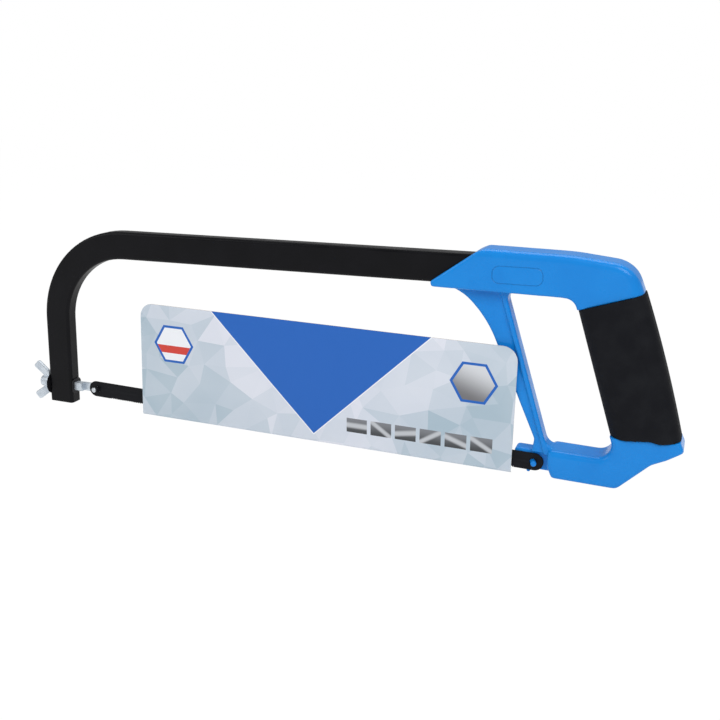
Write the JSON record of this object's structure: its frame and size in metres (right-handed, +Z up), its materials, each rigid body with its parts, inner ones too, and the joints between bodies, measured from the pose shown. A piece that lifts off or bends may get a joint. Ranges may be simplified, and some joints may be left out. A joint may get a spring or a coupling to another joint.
{
  "type": "hacksaw",
  "caption": "Hand hacksaw with a bent tube frame, closed D-shaped handle, wing-nut blade tensioner, fitted blade and a folded sales card.",
  "frame": {"origin": "centre of the front blade hole, on the blade's middle plane", "axes": "+X along the blade from the wing nut to the handle, +Y across the saw, +Z up from the teeth to the frame tube"},
  "size_m": [0.4335, 0.025, 0.1393],
  "materials": {
    "black_paint": "black powder coat on steel tube, semi-gloss",
    "blue_paint": "gloss blue paint on die-cast aluminium",
    "grip_rubber": "matte black soft grip",
    "black_plastic": "black moulded guide bush",
    "zinc_plate": "bright zinc plate",
    "blade_steel": "black painted spring steel",
    "printed_card": "smooth printed card with plain colour facets"
  },
  "bodies": {
    "frame": {"frame_tube": "black_paint", "handle_casting": "blue_paint", "rubber_grip": "grip_rubber", "rear_blade_pin": "blue_paint", "outer_guide_bush": "black_plastic", "inner_guide_bush": "black_plastic"},
    "nut": {"wing_nut": "zinc_plate"},
    "tensioner": {"tension_stud": "zinc_plate", "front_blade_pin": "zinc_plate"},
    "blade": {"hacksaw_blade": "blade_steel"},
    "card": {"card_front_panel": "printed_card", "card_back_flap": "printed_card"}
  },
  "joints": [
    {"name": "wing_nut_turn", "type": "hinge", "parent": "frame", "child": "nut", "pos_m": [-0.045, 0, 0], "axis": [-1, 0, 0], "range_deg": [0, 2250]},
    {"name": "stud_slide", "type": "slide", "parent": "frame", "child": "tensioner", "axis": [1, 0, 0], "range_m": [0, 0.005]},
    {"name": "blade_release", "type": "slide", "parent": "frame", "child": "blade", "axis": [0.2756, -0.9613, 0], "range_m": [0, 0.00908]},
    {"name": "card_slide", "type": "slide", "parent": "blade", "child": "card", "axis": [0, 0, -1], "range_m": [0, 0.03]}
  ],
  "couplings": [
    {"joint": "stud_slide", "follows": "wing_nut_turn", "m_per_rad": 0.00012732},
    {"joint": "blade_release", "follows": "wing_nut_turn", "m_per_rad": 0.00023097}
  ]
}
